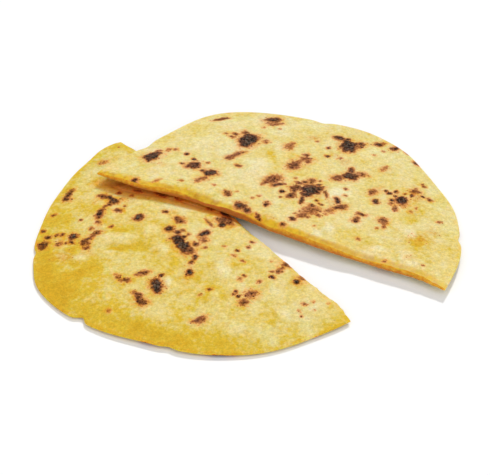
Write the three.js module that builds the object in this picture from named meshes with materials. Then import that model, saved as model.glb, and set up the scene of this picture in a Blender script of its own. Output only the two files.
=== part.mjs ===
// Makki roti: a hand-patted maize flatbread, browned on a griddle and cut once across with a knife.
// The left half lies flat. The right half is turned away a little, and leans on the left half's cut edge.
// Millimetres, +Z up. The bread lies on Z = 0, with the middle of its outline's box at X = Y = 0.
// Each half is shaped in its own frame: X along the cut, Y across it, the middle of the cut at the origin.

import * as THREE from "three";
import { mergeVertices } from "three/addons/utils/BufferGeometryUtils.js";

// The bread before it is cut
const CUT_LENGTH = 170; // from rim to rim, along the knife
const ROUND_RADIUS = 85; // the round, before the bulges that the hands left
const MIDDLE_THICKNESS = 4.2;
const SHOULDER_THICKNESS = 3.3; // where the rim starts to roll off
const RIM_THICKNESS = 1.8;
const THINS_FROM = 0.35; // share of the radius from which the bread thins to the shoulder
const SHOULDER = 0.82; // the shoulder's share of the radius
const RIM_ROUNDING = 1.1; // how far the rim's upper and lower corners stand back
const RIM_SHARPNESS = 10; // how close to the rim that rounding keeps

// Bulges and flats of the outline: angle from the front end of the cut, spread and height
const BULGES = [
  { at: 129, spread: 15, out: 16.5 },
  { at: 92, spread: 22, out: 16.5 },
  { at: 74, spread: 5, out: 1.2 },
  { at: 44, spread: 16, out: 2.4 },
  { at: 0, spread: 10, out: -1.3 },
  { at: -36, spread: 16, out: 2.2 },
  { at: -90, spread: 14, out: 5.0 },
  { at: -100, spread: 5, out: 1.4 },
  { at: -142, spread: 18, out: -4.0 },
  { at: -173, spread: 5, out: 2.2 },
  { at: 180, spread: 8, out: 1.4 },
];
const RIPPLES = [
  { count: 9, start: 0.7, out: 0.25 },
  { count: 16, start: 2.1, out: 0.2 },
];

// Short splits in the rim
const SPLITS = [
  { at: -79, spread: 1.6, deep: 1.9 },
  { at: -113, spread: 1.3, deep: 1.0 },
  { at: -52, spread: 1.2, deep: 0.9 },
  { at: 27, spread: 1.4, deep: 1.1 },
  { at: 101, spread: 1.5, deep: 1.4 },
  { at: 158, spread: 2.2, deep: 1.6 },
];

// The rim curls off the table here and there
const CURL = { height: 1.0, from: 0.62, waves: 3, start: 1.0, beats: 2, beatStart: -0.6 };

// The cut: it bows towards the right half, wavers, and has a rounded upper lip
const KNIFE_BOW = 3.4;
const KNIFE_WAVER = { out: 0.6, length: 9, start: 1.9 };
const KNIFE_FADE = 45; // how far from the cut its bow dies out
const LIP_WIDTH = 2.8;
const LIP_DOWN = 0.9;
const CHIP_WIDTH = 3.6;

// Where each half lies: the middle of its cut, and the turn of the cut about the vertical.
// breaks: where crumb has gone from the whole height of the cut, and how far back that leaves it.
// chips: where only the upper crust has gone.
// bubbles: soft rises that fell flat again, and dents between them.
const LEFT = {
  name: "left_half",
  side: -1,
  x: -8.5,
  y: 7.8,
  turn: -52.8,
  breaks: [
    { at: 75, spread: 5, back: -1.4 },
    { at: 21, spread: 6, back: -0.8 },
    { at: 48, spread: 5, back: 0.5 },
  ],
  chips: [
    { at: 14, spread: 5, down: 0.6 },
    { at: 52, spread: 4, down: 0.7 },
  ],
  bubbles: [
    { x: -17, y: -46, long: 14, wide: 7, turn: 50, rise: 1.0 },
    { x: -10, y: -54, long: 8, wide: 4, turn: 55, rise: 0.4 },
    { x: -13, y: -32, long: 7, wide: 6, turn: -35, rise: 0.5 },
    { x: 1, y: -35, long: 8, wide: 5, turn: 15, rise: 0.6 },
    { x: -6, y: -41, long: 11, wide: 6, turn: 55, rise: -0.4 },
    { x: 28, y: -23, long: 10, wide: 6, turn: -35, rise: 0.6 },
    { x: 31, y: -31, long: 10, wide: 5, turn: 60, rise: -0.4 },
    { x: 22, y: -46, long: 6, wide: 4, turn: -35, rise: 0.6 },
    { x: -15, y: -66, long: 7, wide: 5, turn: 55, rise: 0.4 },
    { x: 41, y: -36, long: 7, wide: 5, turn: -35, rise: 0.4 },
    { x: 63, y: -22, long: 7, wide: 5, turn: 55, rise: 0.4 },
    { x: 58, y: -42, long: 9, wide: 5, turn: 55, rise: 0.4 },
    { x: -40, y: -40, long: 12, wide: 9, turn: 20, rise: 0.4 },
    { x: 40, y: -10, long: 13, wide: 8, turn: -20, rise: 0.4 },
  ],
};
const RIGHT = {
  name: "right_half",
  side: 1,
  x: 8.0,
  y: -3.0,
  turn: -28.7,
  breaks: [
    { at: -34, spread: 13, back: 2.4 },
    { at: -64, spread: 7, back: -1.3 },
    { at: 3, spread: 7, back: -1.1 },
    { at: 73, spread: 12, back: 3.2 },
  ],
  chips: [
    { at: -33, spread: 6, down: 1.5 },
    { at: 1, spread: 5, down: 1.1 },
    { at: 43, spread: 6, down: 0.9 },
    { at: -58, spread: 5, down: 0.5 },
  ],
  bubbles: [
    { x: -25, y: 41, long: 15, wide: 11, turn: -55, rise: 0.6 },
    { x: 15, y: 41, long: 9, wide: 6, turn: 85, rise: 0.6 },
    { x: 26, y: 13, long: 9, wide: 5, turn: -55, rise: 0.6 },
    { x: 57, y: 28, long: 7, wide: 5, turn: -60, rise: 0.5 },
    { x: 63, y: 12, long: 9, wide: 6, turn: -55, rise: 0.5 },
    { x: 49, y: 11, long: 7, wide: 5, turn: 35, rise: 0.4 },
    { x: -22, y: 61, long: 13, wide: 9, turn: -55, rise: 0.5 },
    { x: 52, y: 42, long: 9, wide: 6, turn: -60, rise: -0.4 },
    { x: -54, y: 52, long: 13, wide: 9, turn: 45, rise: 0.4 },
    { x: -59, y: 22, long: 11, wide: 8, turn: 55, rise: 0.4 },
    { x: 12, y: 74, long: 14, wide: 9, turn: 30, rise: 0.5 },
    { x: 48, y: 60, long: 10, wide: 8, turn: -30, rise: 0.4 },
  ],
};

// The right half's underside: flat on the table, rising to the left half's edge and on over it
const LEAN_HEIGHT = 5.0; // over the left half's cut edge
const LEAN_REACH = 88; // from that edge to where the right half is flat on the table
const LEAN_POWER = 1.35;

// Slow waves that the palms left all over the upper crust
const PALM_WAVES = { height: 0.22, alongLength: 9.5, alongStart: 0.6, acrossLength: 11, acrossStart: 1.1 };
const FINGER_WAVES = { height: 0.14, length: 8, slant: 1.6, start: 2.0 };

// Small blisters on a sunflower spiral, each of its own size
const BLISTERS = 40;
const BLISTER_HEIGHT = 0.5;
const BLISTER_SPREAD = 3.8;
const BLISTER_SIZES = { least: 0.45, range: 0.55, step: 2.7, start: 0.4 };
const BLISTERED_SHARE = 0.95; // of the round's radius
const GOLDEN_ANGLE = Math.PI * (3 - Math.sqrt(5));

// Fineness of the solids
const STEPS_ALONG = 54;
const STEPS_ACROSS = 27;
const STEPS_UP = 3;
const EVEN_ROWS = 0.6; // the rest of a row's place goes with its square, so rows are closer at the cut

const { degToRad, radToDeg, smoothstep } = THREE.MathUtils;
const bell = (distance, spread) => Math.exp(-0.5 * (distance / spread) ** 2);

// The gap between two angles in degrees, the short way round
const turnBetween = (a, b) => Math.abs(((a - b + 540) % 360) - 180);

// Radius of the outline at an angle in radians
function outline(angle) {
  const at = radToDeg(angle);
  let radius = ROUND_RADIUS;
  for (const ripple of RIPPLES) radius += ripple.out * Math.sin(ripple.count * angle + ripple.start);
  for (const bulge of BULGES) radius += bulge.out * bell(turnBetween(at, bulge.at), bulge.spread);
  for (const split of SPLITS) radius -= split.deep * bell(turnBetween(at, split.at), split.spread);
  return radius;
}

// Place of the cut across its own line, with what has broken off this half
function cutLine(half, along) {
  const share = along / (CUT_LENGTH / 2);
  const waver = KNIFE_WAVER.out * Math.sin(along / KNIFE_WAVER.length + KNIFE_WAVER.start);
  let line = KNIFE_BOW * (1 - share ** 2) + waver * (1 - share ** 4);
  for (const gap of half.breaks) line += half.side * gap.back * bell(along - gap.at, gap.spread);
  return line;
}

// Thickness at a share of the radius: thinner towards the shoulder, and rolled off from there to the rim
function thickness(share) {
  const thinned = (MIDDLE_THICKNESS - SHOULDER_THICKNESS) * smoothstep(share, THINS_FROM, SHOULDER);
  const rolled = (SHOULDER_THICKNESS - RIM_THICKNESS) * smoothstep(share, SHOULDER, 1);
  return MIDDLE_THICKNESS - thinned - rolled;
}

// How far the upper crust is down at the cut: the lip all along, and deeper where chips have gone
function lowered(half, along, fromCut) {
  let chipped = 0;
  for (const chip of half.chips) chipped += chip.down * bell(along - chip.at, chip.spread);
  const lip = LIP_DOWN * (1 - smoothstep(fromCut, 0, LIP_WIDTH));
  return lip + chipped * (1 - smoothstep(fromCut, 0, CHIP_WIDTH));
}

// Rise of the upper crust over its plain thickness
function relief(half, x, y) {
  const palms = Math.sin(x / PALM_WAVES.alongLength + PALM_WAVES.alongStart);
  const across = Math.sin(y / PALM_WAVES.acrossLength + PALM_WAVES.acrossStart);
  const fingers = Math.sin((x + FINGER_WAVES.slant * y) / FINGER_WAVES.length + FINGER_WAVES.start);
  let rise = PALM_WAVES.height * palms * across + FINGER_WAVES.height * fingers;
  for (let i = 0; i < BLISTERS; i++) {
    const radius = BLISTERED_SHARE * ROUND_RADIUS * Math.sqrt((i + 0.5) / BLISTERS);
    const angle = i * GOLDEN_ANGLE;
    const draw = Math.abs(Math.sin(BLISTER_SIZES.step * i + BLISTER_SIZES.start));
    const size = BLISTER_SIZES.least + BLISTER_SIZES.range * draw;
    const away = Math.hypot(x - radius * Math.cos(angle), y - radius * Math.sin(angle));
    rise += BLISTER_HEIGHT * size * bell(away, BLISTER_SPREAD * size);
  }
  for (const bubble of half.bubbles) {
    const spot = new THREE.Vector2(x - bubble.x, y - bubble.y);
    spot.rotateAround(new THREE.Vector2(), -degToRad(bubble.turn));
    rise += bubble.rise * bell(Math.hypot(spot.x / bubble.long, spot.y / bubble.wide), 0.5);
  }
  return rise;
}

// Curl of the rim off the table
function curl(angle, share) {
  const beat = Math.cos(CURL.beats * angle + CURL.beatStart);
  const wave = 0.5 + 0.5 * Math.sin(CURL.waves * angle + CURL.start) * beat;
  return CURL.height * wave ** 2 * smoothstep(share, CURL.from, 1);
}

// From the right half's own place to the distance beyond the left half's cut
function beyondLeftCut(x, y) {
  const spot = new THREE.Vector2(x, y).rotateAround(new THREE.Vector2(), degToRad(RIGHT.turn));
  spot.add(new THREE.Vector2(RIGHT.x - LEFT.x, RIGHT.y - LEFT.y));
  return spot.rotateAround(new THREE.Vector2(), -degToRad(LEFT.turn)).y - KNIFE_BOW;
}

// Height of the right half's underside
function lean(x, y) {
  const beyond = beyondLeftCut(x, y);
  if (beyond < 0) return LEAN_HEIGHT - (LEAN_HEIGHT * LEAN_POWER * beyond) / LEAN_REACH;
  return LEAN_HEIGHT * Math.max(0, 1 - beyond / LEAN_REACH) ** LEAN_POWER;
}

// A box bent to one half of the round, over the given underside
function halfRound(half, underside) {
  const geometry = new THREE.BoxGeometry(2, 1, 1, STEPS_ALONG, STEPS_ACROSS, STEPS_UP);
  geometry.deleteAttribute("normal");
  geometry.deleteAttribute("uv");
  const spots = geometry.getAttribute("position");
  for (let i = 0; i < spots.count; i++) {
    const u = spots.getX(i);
    const row = spots.getY(i) + 0.5;
    const v = EVEN_ROWS * row + (1 - EVEN_ROWS) * row ** 2;
    const up = spots.getZ(i) + 0.5;

    // From the square's u and v to a share of the half round's radius, and an angle
    const alongShare = u * Math.sqrt(1 - v ** 2 / 2);
    const acrossShare = v * Math.sqrt(1 - u ** 2 / 2);
    const share = Math.hypot(alongShare, acrossShare);
    const angle = half.side * Math.atan2(acrossShare, alongShare);
    const standBack = RIM_ROUNDING * (2 * up - 1) ** 2 * share ** RIM_SHARPNESS;
    const radius = share * (outline(angle) - standBack);
    const x = radius * Math.cos(angle);
    const straight = radius * Math.sin(angle);
    const fromCut = Math.abs(straight);
    const y = straight + cutLine(half, x) * (1 - smoothstep(fromCut, 0, KNIFE_FADE));

    const bottom = underside(x, y) + curl(angle, share);
    const rise = relief(half, x, y) * (1 - smoothstep(share, SHOULDER, 1));
    const height = thickness(share) * (1 - lowered(half, x, fromCut) / MIDDLE_THICKNESS) + rise;
    spots.setXYZ(i, x, y, bottom + up * height);
  }
  const closed = mergeVertices(geometry, 1e-3);
  if (half.side < 0) closed.setIndex([...closed.index.array].reverse());
  return closed;
}

function makeHalf(half, underside) {
  const crust = new THREE.MeshStandardMaterial({ color: 0xe6cf82, roughness: 0.78, metalness: 0 });
  const mesh = new THREE.Mesh(halfRound(half, underside), crust);
  mesh.name = half.name;
  mesh.position.set(half.x, half.y, 0);
  mesh.rotation.z = degToRad(half.turn);
  return mesh;
}

const roti = new THREE.Group();
roti.add(makeHalf(LEFT, () => 0));
roti.add(makeHalf(RIGHT, lean));

// The origin is under the middle of the bread's box
roti.updateMatrixWorld(true);
const middle = new THREE.Box3().setFromObject(roti, true).getCenter(new THREE.Vector3());
roti.position.set(-middle.x, -middle.y, 0);

export default roti;
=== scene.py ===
import math
import random

import bmesh
import bpy
import numpy as np
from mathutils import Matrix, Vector, noise


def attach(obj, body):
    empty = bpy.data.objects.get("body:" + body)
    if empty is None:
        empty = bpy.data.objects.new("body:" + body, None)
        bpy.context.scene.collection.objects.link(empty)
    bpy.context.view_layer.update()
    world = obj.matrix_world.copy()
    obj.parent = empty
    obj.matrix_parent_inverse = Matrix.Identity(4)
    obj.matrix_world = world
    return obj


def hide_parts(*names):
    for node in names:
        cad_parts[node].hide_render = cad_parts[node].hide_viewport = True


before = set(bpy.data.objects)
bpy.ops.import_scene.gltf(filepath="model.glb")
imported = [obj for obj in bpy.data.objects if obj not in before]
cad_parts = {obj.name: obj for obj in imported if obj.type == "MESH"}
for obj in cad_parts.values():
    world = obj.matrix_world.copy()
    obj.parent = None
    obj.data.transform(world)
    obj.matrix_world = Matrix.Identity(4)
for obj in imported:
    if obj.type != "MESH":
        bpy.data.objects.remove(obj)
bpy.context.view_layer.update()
mm = 0.001

# The bread before it is cut, in millimetres, with the CAD model's values, but for the first split:
# here it is sharper than the CAD model's facets can show.
# Angles go round from the front end of the cut, and shares are parts of the radius.
bread = {
    "cutLength": 170,
    "roundRadius": 85,
    "middleThickness": 4.2,
    "shoulderThickness": 3.3,
    "rimThickness": 1.8,
    "thinsFrom": 0.35,
    "shoulder": 0.82,
    "rimRounding": 1.1,
    "rimSharpness": 10,
    "bulges": [  # at, spread, out
        (129, 15, 16.5), (92, 22, 16.5), (74, 5, 1.2), (44, 16, 2.4), (0, 10, -1.3),
        (-36, 16, 2.2), (-90, 14, 5.0), (-100, 5, 1.4), (-142, 18, -4.0), (-173, 5, 2.2),
        (180, 8, 1.4),
    ],
    "ripples": [(9, 0.7, 0.25), (16, 2.1, 0.2)],  # count, start, out
    "splits": [  # at, spread, deep
        (-79, 1.2, 2.5), (-113, 1.3, 1.0), (-52, 1.2, 0.9),
        (27, 1.4, 1.1), (101, 1.5, 1.4), (158, 2.2, 1.6),
    ],
    "curl": {
        "height": 1.0, "start": 0.62, "waves": 3, "phase": 1.0, "beats": 2, "beatPhase": -0.6,
    },
}

leftHalf = {
    "name": "leftHalf",
    "node": "left_half",
    "side": -1,
    "place": (-8.5, 7.8),
    "turn": -52.8,
    "leans": False,
    "seed": 11,
    "paleness": 0.65,
    "rimTone": 0.16,
    "goldLip": [(0, 0.15)],  # along, amount
    "breaks": [(75, 5, -1.4), (21, 6, -0.8), (48, 5, 0.5)],  # along, spread, back
    "chips": [(14, 5, 0.6), (52, 4, 0.7)],  # along, spread, down
    "footRaised": [(30, 14, 0.2), (86, 9, -0.4)],  # how much higher the cut face's darker foot reaches: along, spread, amount
    # Soft rises that fell flat again, and dents: along, across, long, wide, turn and rise
    "bubbles": [
        (-17, -46, 14, 7, 50, 1.0), (-10, -54, 8, 4, 55, 0.4), (-13, -32, 7, 6, -35, 0.5),
        (1, -35, 8, 5, 15, 0.6), (-6, -41, 11, 6, 55, -0.4), (28, -23, 10, 6, -35, 0.6),
        (31, -31, 10, 5, 60, -0.4), (22, -46, 6, 4, -35, 0.6), (-15, -66, 7, 5, 55, 0.4),
        (41, -36, 7, 5, -35, 0.4), (63, -22, 7, 5, 55, 0.4), (58, -42, 9, 5, 55, 0.4),
        (-40, -40, 12, 9, 20, 0.4), (40, -10, 13, 8, -20, 0.4),
    ],
    # Deeper and paler yellow, and painted highlights and shade on the bubbles: along, across,
    # long, wide, turn and amount
    "tonesWithBubbleLight": [
        (-8, -79, 26, 18, -35, 0.8), (-22, -79, 17, 6, -35, 0.5), (39, -68, 16, 9, 25, 0.7),
        (-43, -57, 9, 8, 55, 0.4), (-7, -41, 12, 6, 55, 0.6), (-11, -51, 7, 3, 55, 0.9),
        (39, -34, 10, 9, -15, 0.4), (10, -35, 15, 4, -35, 0.4), (-7, -71, 5, 4, 55, 0.5),
        (67, -26, 6, 5, -35, 0.4), (59, -54, 24, 7, 55, 0.4), (-78, -18, 28, 8, -60, -0.15),
        (-74, -2, 13, 5, 0, 0.4), (-21, -13, 11, 5, 40, -0.6), (-17, -46, 11, 6, 50, -0.8),
        (-16, -66, 5, 4, 55, -0.7), (1, -35, 7, 4, 15, -0.8), (22, -46, 5, 2, -35, -1.0),
        (29, -23, 10, 5, -35, -0.7), (41, -36, 5, 4, -35, -0.6), (66, -19, 6, 5, 55, -0.5),
        (76, -33, 4, 4, 55, -0.6), (61, -41, 8, 5, 55, -0.5), (-13, -32, 6, 5, -35, -0.6),
        (-13, -74, 6, 4, 55, -0.5), (-2, -13, 9, 7, -35, -0.3), (-56, -14, 10, 8, 35, -0.3),
        (51, -26, 13, 12, -35, -0.25), (18, -78, 11, 9, 55, 0.5), (66, -11, 20, 15, 55, -0.2),
        (-6, -63, 11, 9, -35, 0.4), (4, -32, 11, 11, -35, 0.35), (24, -35, 8, 7, 55, 0.4),
        (53, -55, 10, 5, 55, 0.5), (-24, -63, 9, 8, -35, 0.35), (-48, -45, 14, 8, 15, 0.35),
        (26, -2, 13, 10, -35, -0.75), (77, -17, 9, 7, -35, -0.35), (51, -14, 7, 7, 55, -0.4),
        (-11, -53, 5, 2, 55, -0.9), (42, -63, 11, 7, -35, -0.3), (7, -72, 9, 8, -35, 0.3),
        (-20, -42, 14, 7, 55, 0.25), (72, -30, 19, 6, 65, -0.25), (-26, -67, 8, 6, -35, 0.25),
        (64, -2, 12, 8, -35, -0.45), (6, -11, 12, 8, -35, -0.4), (-13, -8, 11, 8, -35, -0.4),
        (28, -74, 12, 9, -35, 0.35), (-19, -44, 10, 7, -35, 0.4), (35, 0, 12, 8, -35, -0.35),
        (38, -26, 12, 8, -35, -0.35), (-73, -27, 11, 7, -35, -0.35), (10, -23, 9, 7, -35, -0.35),
        (79, -30, 10, 7, -35, -0.35), (80, -15, 10, 7, -35, -0.35), (3, -40, 10, 7, -35, 0.35),
        (30, -30, 9, 7, -35, 0.35), (50, -9, 11, 7, -35, -0.35), (53, -34, 9, 7, -35, 0.35),
        (0, -68, 10, 7, -35, 0.35), (37, -64, 10, 7, -35, -0.3), (9, -63, 9, 7, -35, 0.3),
    ],
    # Griddle marks: along, across, long, wide, turn and burn
    "blots": [
        (-61, -44.5, 10.1, 2.8, -55, 0.83), (-49, -33, 4.8, 4.0, 45, 0.69),
        (-43, -31.5, 4.8, 4.2, 25, 0.84), (-37, -42.5, 7.6, 3.2, -55, 0.86),
        (-24.5, -30, 5.4, 3.3, 85, 0.97), (-26, -52, 6.9, 3.8, 90, 0.67),
        (-24, -58, 5.8, 3.5, -25, 0.70), (-31, -60.5, 5.1, 3.8, -15, 1.00),
        (-34.5, -73.5, 5.4, 4.6, -50, 0.84), (-12, -16.5, 5.8, 3.6, 25, 0.77),
        (-18, -17, 7.0, 5.0, 0, 0.37), (-9, -24, 4.9, 3.5, -55, 0.97),
        (0, -26, 7.2, 5.7, -20, 0.98), (8, -26.5, 7.1, 6.5, 40, 0.80),
        (2.5, -14, 5.4, 3.1, 85, 0.98), (6, -16.5, 5.3, 3.9, 15, 0.53),
        (18, -32, 7.0, 4.0, -35, 0.36), (21.5, -35, 3.8, 2.5, -30, 0.98),
        (1.5, -1, 9.4, 6.6, 20, 0.76), (-2.5, -7.5, 7.3, 1.3, -10, 0.70),
        (43.5, -4, 5.7, 2.3, -75, 0.66), (41, 1.5, 5.7, 4.3, -85, 0.70),
        (52, 2, 7.0, 4.4, -80, 0.55), (48.5, -22.5, 6.3, 4.9, -85, 0.57),
        (51, -28.5, 5.0, 3.5, -85, 0.76), (48.5, -49, 6.7, 3.8, -85, 0.70),
        (9.5, -50.5, 7.4, 2.5, 75, 0.68), (5, -60, 4.0, 2.7, -10, 0.57),
        (9, -59, 4.4, 2.9, 60, 0.72), (20, -51, 9.8, 4.0, -30, 1.00),
        (20, -60, 6.4, 2.5, 10, 0.77), (25, -61, 6.2, 4.3, -20, 0.77),
        (-21, -70.5, 10.0, 6.5, 55, 0.37), (-46, -31.5, 5.4, 3.3, 5, 0.94),
        (-41, -37, 4.5, 1.8, -65, 0.73), (22, -61, 5.4, 3.4, 5, 0.75),
        (5, -26.5, 7.2, 5.7, 0, 0.97), (15, -27.5, 2.8, 1.9, -70, 0.74),
        (-24, -59.5, 4.3, 1.4, -25, 0.80), (-20.5, -60, 3.3, 1.9, 55, 0.79),
        (-25, -56, 3.0, 1.8, 65, 0.96), (5, -0.5, 3.8, 2.1, 20, 0.67),
        (-42.5, -18.5, 4.7, 2.1, 20, 0.58), (-33, -12, 6.6, 2.3, 25, 0.64),
        (-25, -8, 4.1, 1.8, 20, 0.50), (-10.5, -0.5, 4.8, 2.0, 15, 0.62),
        (-3.5, 2, 5.9, 2.6, 10, 0.80), (54, -1.5, 6.0, 4.0, -80, 0.36),
        (38, -1, 4.5, 3.5, -75, 0.34), (-33, -67.5, 6.0, 4.0, 55, 0.35),
        (-29.5, -49.5, 6.0, 5.0, -55, 0.34), (1.5, -20.5, 6.0, 4.0, 0, 0.33),
        (-47.5, -38.5, 6.0, 4.0, -50, 0.35), (24, -38.5, 5.0, 4.0, -35, 0.30),
        (-17, -61.5, 6.0, 5.0, 55, 0.33), (-39.5, -25.5, 7.0, 4.0, 0, 0.34),
    ],
    # Small spots: along, across, size and burn
    "spots": [
        (-58, -47, 3.5, 0.64), (-51, -58, 2.0, 0.63), (-39.5, -51, 1.0, 0.98),
        (-41.5, -34.5, 2.3, 0.66), (-33, -46, 3.1, 0.46), (-31, -51, 2.3, 0.41),
        (-35, -34, 3.0, 0.62), (-36.5, -30, 1.6, 0.43), (-41, -23, 1.8, 0.58),
        (-47.5, -26, 1.8, 0.55), (-42, -28, 2.6, 0.25), (-26.5, -43.5, 1.8, 0.65),
        (-27.5, -63, 2.2, 0.82), (-29, -65, 1.7, 0.58), (-30.5, -67.5, 3.3, 0.43),
        (-35, -63.5, 2.0, 0.68), (-36.5, -65.5, 2.2, 0.65), (-38.5, -69, 2.7, 0.63),
        (-44, -68, 2.0, 0.81), (-74, -17.5, 4.1, 0.29), (-67, -10.5, 2.6, 0.32),
        (-81.5, -4, 1.1, 0.62), (-21, -18.5, 2.4, 0.72), (-5, -23, 2.5, 0.79),
        (-5, -20.5, 2.5, 0.46), (-1, -20, 2.3, 0.48), (6.5, -21, 2.6, 0.74),
        (11, -19.5, 1.8, 0.60), (13.5, -26.5, 2.0, 0.96), (16, -30, 2.3, 0.74),
        (2.5, -4.5, 2.9, 0.94), (15.5, -12.5, 1.3, 0.55), (20.5, -1, 2.2, 0.60),
        (22.5, -4.5, 1.6, 0.67), (21.5, -10, 1.7, 0.81), (24, -13.5, 2.3, 0.38),
        (29, -12.5, 2.0, 0.51), (36, -3, 1.4, 0.32), (37.5, -18, 1.4, 0.82), (38, -21, 2.1, 0.36),
        (44.5, -15.5, 1.9, 0.40), (45.5, -9.5, 2.0, 0.99), (53, -2.5, 2.3, 0.90),
        (36, -35, 2.5, 0.69), (36, -40, 1.7, 0.25), (43.5, -27, 1.6, 0.86), (44, -29, 1.4, 0.69),
        (46.5, -28, 1.7, 0.82), (16, -45.5, 2.0, 0.81), (66.5, -9, 2.0, 0.47),
        (67.5, -5.5, 1.7, 0.25), (72, -1, 1.2, 0.28), (68.5, -13.5, 1.7, 0.34),
        (71.5, -15, 1.0, 0.25), (72, -8.5, 1.0, 0.25), (21, -75.5, 2.3, 0.42),
        (-0.5, -22.5, 2.1, 0.78), (-47.5, -32.5, 1.9, 0.81), (42.5, -7, 1.5, 0.61),
    ],
}

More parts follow.
